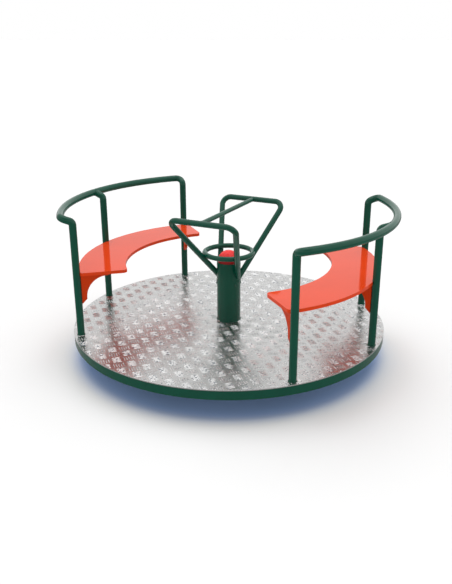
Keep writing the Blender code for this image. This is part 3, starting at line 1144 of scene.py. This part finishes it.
@dataclass
class TreadDeck(SubAssembly):
    """The deck: rim hoop, spokes, tread plate and the raised bars rolled into it."""

    rim_wall: float = 0.010
    rim_edge: float = 0.0015
    plate_edge: float = 0.0008
    hoop_steps: int = 288
    spoke_width: float = 0.035
    spoke_edge: float = 0.003
    pattern_pitch: float = 0.0771
    pattern_turn: float = math.radians(0.8)
    pattern_start: Span = (-0.2264, -0.2549)
    bars_in_group: int = 5
    bar_spacing: float = 0.0104
    bar_length: float = 0.038
    bar_width: float = 0.0032
    bar_height: float = 0.0013
    shortest_bar: float = 0.008
    edge_margin: float = 0.0025
    bar_bluntness: float = 3.0
    stations_along: tuple[float, ...] = (-1.0, -0.82, -0.45, 0.0, 0.45, 0.82, 1.0)
    stations_across: tuple[float, ...] = (-1.0, -0.6, 0.0, 0.6, 1.0)

    def build(self) -> None:
        """Build the deck."""
        rim = ring_shape(LEVELS.rim_radius, LEVELS.rim_radius - self.rim_wall,
                         LEVELS.rim_underside_z, LEVELS.rim_top_z, self.hoop_steps)
        self.piece("rim_hoop", rim, GREEN_COAT, ["rim_ring"], edge=self.rim_edge)
        plate = ring_shape(LEVELS.deck_radius, LEVELS.column_radius,
                           LEVELS.deck_underside_z, LEVELS.deck_z, self.hoop_steps)
        self.piece("tread_disc", plate, BRIGHT_TREAD, ["tread_plate"], edge=self.plate_edge)
        self.piece("tread_bars", self.bars(), TREAD_BARS)
        self.build_spokes()

    def build_spokes(self) -> None:
        """Build the box-section spokes under the plate, and their weld beads."""
        angles = [LEVELS.post_turn(place) for place in PostPlace] + [QUARTER_TURN]
        angles += [angle + math.pi for angle in angles]
        half = self.spoke_width / 2.0
        start = LEVELS.column_radius
        reach = math.sqrt((LEVELS.rim_radius - self.rim_wall) ** 2 - half ** 2)
        low, high = LEVELS.rim_underside_z, LEVELS.rim_top_z
        section = [(-half, low), (half, low), (half, high), (-half, high)]
        for number, angle in enumerate(angles, 1):
            outline = [Vector((start, across, height)) for across, height in section]
            spoke = board_shape(outline, Vector((reach - start, 0.0, 0.0)))
            self.piece(f"spoke_{number}", spoke, GREEN_COAT, [f"deck_spoke_{number}"],
                       angle, self.spoke_edge)
            seam = [Vector((reach, across, height)) for across, height in
                    ((-half, high), (-half, low), (half, low), (half, high))]
            self.piece(f"spoke_bead_{number}", BEAD.along(seam, closed=False), GREEN_COAT,
                       turn=angle)

    def bars(self) -> Shape:
        """Make the raised bars: groups of five, laid along one diagonal and the other.

        Returns:
            All the bars in one shape.
        """
        shape = bmesh.new()
        turn = Matrix.Rotation(self.pattern_turn, 2)
        cells = math.ceil(2.0 * LEVELS.deck_radius / self.pattern_pitch) + 1
        for lay, shift in ((BarLay.RISING, 0.0), (BarLay.FALLING, 0.5)):
            along = turn @ lay.along
            across = Vector((-along.y, along.x))
            for column in range(-cells, cells):
                for row in range(-cells, cells):
                    step = turn @ Vector(((column + shift) * self.pattern_pitch,
                                          (row + shift) * self.pattern_pitch))
                    self.add_group(shape, Vector(self.pattern_start) + step, along, across)
        return shape

    def add_group(self, shape: Shape, centre: Vector, along: Vector, across: Vector) -> None:
        """Add one group of parallel bars, if it is near the plate.

        Args:
            shape: the shape that takes them.
            centre: the middle of the group.
            along: the bars' direction.
            across: the direction from bar to bar.
        """
        if centre.length > LEVELS.deck_radius + self.pattern_pitch:
            return
        middle = (self.bars_in_group - 1) / 2.0
        for index in range(self.bars_in_group):
            axis = centre + across * (index - middle) * self.bar_spacing
            for low, high in self.clear_spans(axis, along):
                self.add_bar(shape, axis + along * (low + high) / 2.0, along, across,
                             (high - low) / 2.0)

    def clear_spans(self, axis: Vector, along: Vector) -> list[Span]:
        """Find the stretches of a bar that are on the plate and under no tube.

        Args:
            axis: the middle of the bar.
            along: its direction.

        Returns:
            The ends of each stretch, measured from the middle.
        """
        half = self.bar_length / 2.0
        plate = self.chord(axis, along, ORIGIN, LEVELS.deck_radius - self.edge_margin)
        if plate is None:
            return []
        spans = [(max(-half, plate[0]), min(half, plate[1]))]
        tubes = [(ORIGIN, LEVELS.column_radius)]
        for turn in (0.0, math.pi):
            tubes += [(polar(LEVELS.post_circle, turn + LEVELS.post_turn(place), 0.0),
                       LEVELS.post_radius) for place in PostPlace]
        for centre, radius in tubes:
            hidden = self.chord(axis, along, centre, radius)
            if hidden is not None:
                spans = [span for low, high in spans
                         for span in ((low, min(high, hidden[0])), (max(low, hidden[1]), high))]
        return [(low, high) for low, high in spans if high - low > self.shortest_bar]

    def chord(self, axis: Vector, along: Vector, centre: Vector, radius: float) -> Span | None:
        """Find where a line is inside a circle.

        Args:
            axis: a point on the line.
            along: the line's direction.
            centre: the circle's centre.
            radius: the circle's radius.

        Returns:
            Both ends of the chord, measured from the point, or None if it misses.
        """
        offset = centre.to_2d() - axis
        nearest = offset.dot(along)
        gap = (offset - along * nearest).length
        if gap >= radius:
            return None
        half = math.sqrt(radius ** 2 - gap ** 2)
        return nearest - half, nearest + half

    def add_bar(self, shape: Shape, centre: Vector, along: Vector, across: Vector,
                half_length: float) -> None:
        """Add one lens-shaped bar.

        Args:
            shape: the shape that takes it.
            centre: the middle of the bar.
            along: its direction.
            across: the direction to its side.
            half_length: half its length.
        """
        rings = []
        for station in self.stations_along:
            fullness = math.sqrt(max(0.0, 1.0 - abs(station) ** self.bar_bluntness))
            point = centre + along * station * half_length
            ring = []
            for share in self.stations_across:
                sideways = point + across * share * fullness * self.bar_width / 2.0
                rise = self.bar_height * (1.0 - share ** 2) * fullness
                ring.append(shape.verts.new((*sideways, LEVELS.deck_z + rise)))
                if fullness == 0.0:
                    break
            rings.append(ring)
        for first, second in zip(rings, rings[1:]):
            for index in range(len(self.stations_across) - 1):
                corners = [first[min(index, len(first) - 1)],
                           second[min(index, len(second) - 1)],
                           second[min(index + 1, len(second) - 1)],
                           first[min(index + 1, len(first) - 1)]]
                shape.faces.new(list(dict.fromkeys(corners)))


@dataclass
class CentreColumn(SubAssembly):
    """The centre column with its domed cap and the thrust plate inside it."""

    wall: float = 0.006
    edge: float = 0.0012
    bead_off: float = 0.3
    cap_radius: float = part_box("column_cap")[1].x
    cap_foot_z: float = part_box("column_cap")[0].z
    cap_top_z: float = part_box("column_cap")[1].z
    cap_lip_height: float = 0.004
    dome_steps: int = 24

    def build(self) -> None:
        """Build the column."""
        radius = LEVELS.column_radius
        tube = ring_shape(radius, radius - self.wall, LEVELS.column_foot_z, LEVELS.column_top_z)
        self.piece("column_tube", tube, GREEN_COAT, ["centre_column"], edge=self.edge)
        self.piece("cap_dome", self.dome(), RED_PLASTIC, ["column_cap"])
        bead = BEAD.round_foot(UP * LEVELS.deck_z, radius, ROUND_STEPS, self.bead_off)
        self.piece("column_bead", bead, GREEN_COAT)
        self.redress(["thrust_plate"], BARE_SPINDLE)

    def dome(self) -> Shape:
        """Make the cap: a low straight lip and a dome on it.

        Returns:
            The cap.
        """
        lip_z = self.cap_foot_z + self.cap_lip_height
        profile = [(0.0, self.cap_top_z)]
        for step in range(1, self.dome_steps + 1):
            rise = QUARTER_TURN * (1.0 - step / self.dome_steps)
            profile.append((self.cap_radius * math.cos(rise),
                            lip_z + (self.cap_top_z - lip_z) * math.sin(rise)))
        profile += [(self.cap_radius, self.cap_foot_z), (0.0, self.cap_foot_z)]
        return turned_shape(profile)


@dataclass
class GrabHandles(SubAssembly):
    """The two bent grab handles, the crossbar between them and the grip ring."""

    tube_radius: float = 0.01345
    bar_half_width: float = 0.170
    bar_reach: float = 0.275
    bar_z: float = 0.682
    bend_radius: float = 0.0375
    foot_x: float = 0.049
    foot_z: float = 0.354
    buried_length: float = 0.038
    weld_depth: float = 0.004
    seam_start: float = 0.10
    seam_reach: float = 0.14
    crossbar_radius: float = 0.01065
    crossbar_seam_reach: float = 0.0275
    ring_radius: float = 0.114
    ring_tube_radius: float = 0.012
    ring_z: float = 0.479
    ring_steps: int = 128
    ring_sides: int = 24

    def build(self) -> None:
        """Build the handles."""
        for number, side in ((1, 1.0), (2, -1.0)):
            self.build_handle(number, side)
        ends = [Vector((0.0, side * self.bar_reach, self.bar_z)) for side in (-1.0, 1.0)]
        self.piece("cross_tube", tube_shape(ends, self.crossbar_radius), GREEN_COAT, ["crossbar"])
        for number, side in ((1, 1.0), (2, -1.0)):
            along = Vector((0.0, side, 0.0))
            middle = along * self.bar_reach + UP * self.bar_z
            seam = joint_seam(middle - along * self.crossbar_seam_reach, along,
                              self.crossbar_radius, self.depth_in_bar(side),
                              self.crossbar_seam_reach)
            self.piece(f"cross_tube_bead_{number}", BEAD.along(seam), GREEN_COAT)
        hoop = circle(self.ring_radius, self.ring_z, self.ring_steps)
        ring = tube_shape(hoop, self.ring_tube_radius, self.ring_sides, closed=True)
        self.piece("grip_hoop", ring, GREEN_COAT, ["grip_ring"])

    def leg(self, end: float, side: float) -> tuple[Vector, Vector]:
        """Give the ends of one leg's straight centreline.

        Args:
            end: +1 or -1 along X.
            side: +1 or -1 along Y.

        Returns:
            Its foot on the column and its shoulder at the bar.
        """
        return (Vector((end * self.foot_x, 0.0, self.foot_z)),
                Vector((end * self.bar_half_width, side * self.bar_reach, self.bar_z)))

    def centreline(self, side: float) -> Path:
        """Trace one handle from foot to foot.

        Args:
            side: +1 or -1 along Y.

        Returns:
            Its centreline.
        """
        foot, shoulder = self.leg(1.0, side)
        buried = foot - (shoulder - foot).normalized() * self.buried_length
        mirrored = [Vector((-point.x, point.y, point.z)) for point in (shoulder, buried)]
        return bent([buried, shoulder, *mirrored], [self.bend_radius, self.bend_radius])

    def depth_in_bar(self, side: float) -> Callable[[Vector], float]:
        """Give the depth of a point inside the straight bar of a handle.

        Args:
            side: +1 or -1 along Y.

        Returns:
            A function from a point to its depth.
        """
        def depth(point: Vector) -> float:
            """Measure one point."""
            away = math.hypot(point.y - side * self.bar_reach, point.z - self.bar_z)
            return self.tube_radius - away
        return depth

    def build_handle(self, number: int, side: float) -> None:
        """Build one handle, cut where it enters the column, and its weld beads.

        Args:
            number: its number.
            side: +1 or -1 along Y.
        """
        handle = tube_shape(self.centreline(side), self.tube_radius)
        core = disc_shape(LEVELS.column_radius - self.weld_depth, LEVELS.deck_z,
                          LEVELS.column_top_z)
        cut(handle, [core])
        self.piece(f"handle_tube_{number}", handle, GREEN_COAT, [f"grab_handle_{number}"])
        for end, letter in ((1.0, "a"), (-1.0, "b")):
            foot, shoulder = self.leg(end, side)
            along = (foot - shoulder).normalized()
            seam = joint_seam(foot - along * self.seam_start, along, self.tube_radius,
                              LEVELS.depth_in_column, self.seam_reach)
            self.piece(f"handle_bead_{number}_{letter}", BEAD.along(seam), GREEN_COAT)


@dataclass
class Bench(SubAssembly):
    """One bench: the bent rail with its end posts, middle post, seat board and brackets."""

    label: str
    turn: float
    bend_z: float = 0.6795
    bend_radius: float = 0.020
    rail_radius: float = 0.768
    rail_z: float = 0.6985
    rail_corner: float = 0.028
    rail_steps: int = 90
    post_bead_steps: int = 48
    post_bead_off: float = 0.2
    seat_inner: float = 0.489
    seat_outer: float = 0.707
    seat_inner_angle: float = math.radians(45.4)
    seat_outer_angle: float = math.radians(44.2)
    seat_corner: float = 0.022
    seat_corner_trim: float = 0.0330
    seat_corner_steps: int = 8
    seat_steps: int = 72
    seat_edge: float = 0.0028
    notch_gap: float = 0.0006
    notch_sides: int = 48
    bracket_thickness: float = 0.015
    bracket_length: float = 0.138
    bracket_height: float = 0.136
    bracket_end: float = 0.009
    bracket_toe: float = 0.003
    bracket_curve: float = 0.097
    bracket_neck: float = 0.0235
    bracket_chamfer: float = 0.022
    bracket_tip: float = 0.002
    bracket_edge: float = 0.0015
    bracket_steps: int = 24
    seat_underside_z: float = field(init=False)
    seat_top_z: float = field(init=False)

    def __post_init__(self) -> None:
        """Read the seat's levels from the frame."""
        low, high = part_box(f"{self.label}_seat")
        self.seat_underside_z = low.z
        self.seat_top_z = high.z

    def build(self) -> None:
        """Build the bench."""
        tube = tube_shape(self.rail_line(), LEVELS.post_radius)
        self.piece(f"{self.label}_bent_frame", tube, GREEN_COAT,
                   [f"{self.label}_handrail", f"{self.label}_post_first",
                    f"{self.label}_post_last"], self.turn)
        self.build_middle_post()
        self.build_seat()
        for place in PostPlace:
            self.build_bracket(place)
            foot = LEVELS.post_point(place, LEVELS.deck_z)
            bead = BEAD.round_foot(foot, LEVELS.post_radius, self.post_bead_steps,
                                   self.post_bead_off)
            self.piece(f"{self.label}_foot_bead_{place.word}", bead, GREEN_COAT, turn=self.turn)

    def rail_line(self) -> Path:
        """Trace the bent tube: up the first post, round the rail and down the last post.

        Returns:
            Its centreline.
        """
        corner_turn = math.atan(self.rail_corner / self.rail_radius)
        corner_radius = self.rail_radius / math.cos(corner_turn)
        rail = arc(self.rail_radius, LEVELS.post_angle - corner_turn, self.rail_z,
                   self.rail_steps)
        first, last = ([LEVELS.post_point(place, LEVELS.deck_z),
                        LEVELS.post_point(place, self.bend_z),
                        polar(corner_radius, LEVELS.post_turn(place), self.rail_z)]
                       for place in (PostPlace.FIRST, PostPlace.LAST))
        corners = first + rail[1:-1] + last[::-1]
        radii = [self.bend_radius, self.rail_corner]
        return bent(corners, radii + [0.0] * (len(rail) - 2) + radii[::-1])

    def build_middle_post(self) -> None:
        """Build the middle post, which bends out to the rail, and its weld bead."""
        foot = LEVELS.post_point(PostPlace.MIDDLE, LEVELS.deck_z)
        bend = LEVELS.post_point(PostPlace.MIDDLE, self.bend_z)
        rail = polar(self.rail_radius, 0.0, self.rail_z)
        tube = tube_shape(bent([foot, bend, rail], [self.bend_radius]), LEVELS.post_radius)
        self.piece(f"{self.label}_middle_tube", tube, GREEN_COAT,
                   [f"{self.label}_post_middle"], self.turn)
        seam = joint_seam(bend, (rail - bend).normalized(), LEVELS.post_radius,
                          self.depth_in_rail, (rail - bend).length)
        self.piece(f"{self.label}_rail_bead", BEAD.along(seam), GREEN_COAT, turn=self.turn)

    def depth_in_rail(self, point: Vector) -> float:
        """Give the depth of a point inside the curved rail."""
        away = math.hypot(point.to_2d().length - self.rail_radius, point.z - self.rail_z)
        return LEVELS.post_radius - away

    def build_seat(self) -> None:
        """Build the seat board, notched round the posts."""
        thickness = self.seat_top_z - self.seat_underside_z
        seat = board_shape(self.seat_outline(), UP * thickness)
        notches = []
        for place in PostPlace:
            ends = [LEVELS.post_point(place, height) for height in
                    (self.seat_underside_z - thickness, self.seat_top_z + thickness)]
            notches.append(tube_shape(ends, LEVELS.post_radius + self.notch_gap,
                                      self.notch_sides))
        cut(seat, notches)
        self.piece(f"{self.label}_seat_board", seat, ORANGE_GLOSS, [f"{self.label}_seat"],
                   self.turn, self.seat_edge)

    def seat_outline(self) -> Path:
        """Trace the seat: two arcs joined by straight ends with rounded corners.

        Returns:
            The outline of its underside.
        """
        points: Path = []
        rounding: list[float] = []
        for radius, end in ((self.seat_outer, self.seat_outer_angle),
                            (self.seat_inner, -self.seat_inner_angle)):
            reach = end - math.copysign(self.seat_corner_trim / radius, end)
            points.append(polar(radius, -end, self.seat_underside_z))
            points += arc(radius, reach, self.seat_underside_z, self.seat_steps)
            points.append(polar(radius, end, self.seat_underside_z))
            rounding += [self.seat_corner] + [0.0] * (self.seat_steps + 1) + [self.seat_corner]
        closed = [points[-1], *points, points[0]]
        return bent(closed, rounding, self.seat_corner_steps)[1:-1]

    def build_bracket(self, place: PostPlace) -> None:
        """Build one seat bracket, hollowed on its lower side.

        Args:
            place: the post that it stands against.
        """
        centre_across = self.bracket_neck + self.bracket_curve
        centre_height = -(self.bracket_end + self.bracket_curve)
        profile = [(0.0, 0.0), (self.bracket_length, 0.0),
                   (self.bracket_length, -self.bracket_toe)]
        for step in range(self.bracket_steps + 1):
            angle = QUARTER_TURN * step / self.bracket_steps
            profile.append((centre_across - self.bracket_curve * math.sin(angle),
                            centre_height + self.bracket_curve * math.cos(angle)))
        profile += [(self.bracket_neck, self.bracket_chamfer - self.bracket_height),
                    (self.bracket_tip, -self.bracket_height), (0.0, -self.bracket_height)]
        face = LEVELS.post_circle - LEVELS.post_radius
        outline = [Vector((face - across, -self.bracket_thickness / 2.0,
                           self.seat_underside_z + height)) for across, height in profile]
        bracket = board_shape(outline, Vector((0.0, self.bracket_thickness, 0.0)))
        self.piece(f"{self.label}_gusset_board_{place.word}", bracket, SHADED_ORANGE_GUSSET,
                   [f"{self.label}_bracket_{place.word}"],
                   self.turn + LEVELS.post_turn(place), self.bracket_edge)


@dataclass
class Studio:
    """Floor, sky, lamps and camera."""

    camera_at: tuple[float, float, float] = (1.4101, -2.8355, 1.4427)
    camera_right: tuple[float, float, float] = (0.89386, 0.44833, -0.00225)
    camera_up: tuple[float, float, float] = (-0.15305, 0.30986, 0.93838)
    lens_mm: float = 42.626
    sensor_mm: float = 36.0
    view_depth: float = 1600.0
    floor_half: float = 400.0
    floor_cells: int = 8
    floor_colour: Colour = (0.760, 0.760, 0.760)
    shade_colour: Colour = (0.36, 0.53, 0.90)
    shade_reach: float = 0.60
    shade_fade: Span = (0.32, 0.66)
    sky_colour: Colour = (1.0, 1.0, 1.0)
    sky_strength: float = 1.0
    ground_glow: float = 0.35
    horizon_fade: Span = (-0.07, -0.01)
    dim_side_height: float = 4.0
    dim_side_glow: float = 0.40
    dim_side_fade: Span = (0.70, 0.95)
    broad_spread: float = math.radians(70.0)
    shading_strength: float = 1.8
    shading_lean: float = math.radians(25.0)
    sheen_strength: float = 0.8
    highlight_spread: float = math.radians(14.0)
    highlight_strength: float = 0.11

    def build(self) -> None:
        """Set up the studio."""
        self.build_floor()
        self.build_sky()
        self.build_lamp("shading_light", LampUse.SHADING, self.broad_spread,
                        self.shading_strength)
        self.build_lamp("sheen_light", LampUse.GLOSS, self.broad_spread, self.sheen_strength)
        self.build_lamp("highlight_light", LampUse.GLOSS, self.highlight_spread,
                        self.highlight_strength)
        self.build_camera()
        bpy.context.scene.view_settings.view_transform = "Standard"

    def build_floor(self) -> None:
        """Lay the pale floor, whose shadows are tinted."""
        shape = bmesh.new()
        bmesh.ops.create_grid(shape, x_segments=self.floor_cells, y_segments=self.floor_cells,
                              size=self.floor_half)
        floor = mesh_object("floor", shape)
        shape.free()
        bench = MaterialBench("pale_floor")
        bench.feed(Roughness=0.9, Specular_IOR_Level=0.0)
        shade = bench.add("ShaderNodeAmbientOcclusion", Distance=self.shade_reach)
        openness = bench.spread(shade.outputs["AO"], self.shade_fade, UNIT)
        bench.feed(Base_Color=bench.blend(openness, self.shade_colour, self.floor_colour))
        floor.data.materials.append(bench.material)
        floor.visible_glossy = False

    def build_sky(self) -> None:
        """Light the scene from all round, less from below and from behind the camera."""
        world = bpy.data.worlds.new("soft_sky")
        world.use_nodes = True
        bench = NodeBench(world.node_tree, "Generated")
        rise = bench.spread(bench.likeness(bench.place, UP), self.horizon_fade,
                            (self.ground_glow, self.sky_strength))
        dim_side = Vector((*self.camera_at[:2], self.dim_side_height)).normalized()
        dimming = bench.spread(bench.likeness(bench.place, dim_side), self.dim_side_fade,
                               (1.0, self.dim_side_glow))
        bench.wire(world.node_tree.nodes["Background"], Color=(*self.sky_colour, 1.0),
                   Strength=bench.product(rise, dimming))
        bpy.context.scene.world = world

    def build_lamp(self, name: str, use: LampUse, spread: float, strength: float) -> None:
        """Add a lamp above the machine; one that shades leans over to the far side.

        Args:
            name: the lamp's name.
            use: what the lamp does.
            spread: how wide the lamp looks, as an angle.
            strength: its power.
        """
        lamp = bpy.data.lights.new(name, "SUN")
        lamp.angle = spread
        lamp.energy = strength
        item = add_to_scene(name, lamp)
        shades = use is LampUse.SHADING
        item.visible_diffuse = shades
        item.visible_glossy = not shades
        sideways = Vector((-self.camera_at[1], self.camera_at[0], 0.0))
        lean = self.shading_lean if shades else 0.0
        item.matrix_world = Matrix.Rotation(-lean, 4, sideways)

    def build_camera(self) -> None:
        """Set the camera where the picture was taken from."""
        lens = bpy.data.cameras.new("camera")
        lens.lens = self.lens_mm
        lens.sensor_width = self.sensor_mm
        lens.clip_end = self.view_depth
        right = Vector(self.camera_right).normalized()
        up = Vector(self.camera_up).normalized()
        turn = Matrix((right, up, right.cross(up))).transposed()
        item = add_to_scene("camera", lens)
        item.matrix_world = Matrix.Translation(self.camera_at) @ turn.to_4x4()
        bpy.context.scene.camera = item


def main() -> None:
    """Build and dress the roundabout."""
    logging.basicConfig(level=logging.INFO, format="%(message)s")
    Studio().build()
    log.info("studio: floor, sky, three lamps and camera")
    parts = {"ground frame": GroundFrame(), "deck": TreadDeck(), "column": CentreColumn(),
             "grab handles": GrabHandles(), "first bench": Bench("bench_a", 0.0),
             "second bench": Bench("bench_b", math.pi)}
    for title, part in parts.items():
        part.build()
        for name in part.made:
            log.info("%s: %s", title, name)


if __name__ == "__main__":
    main()
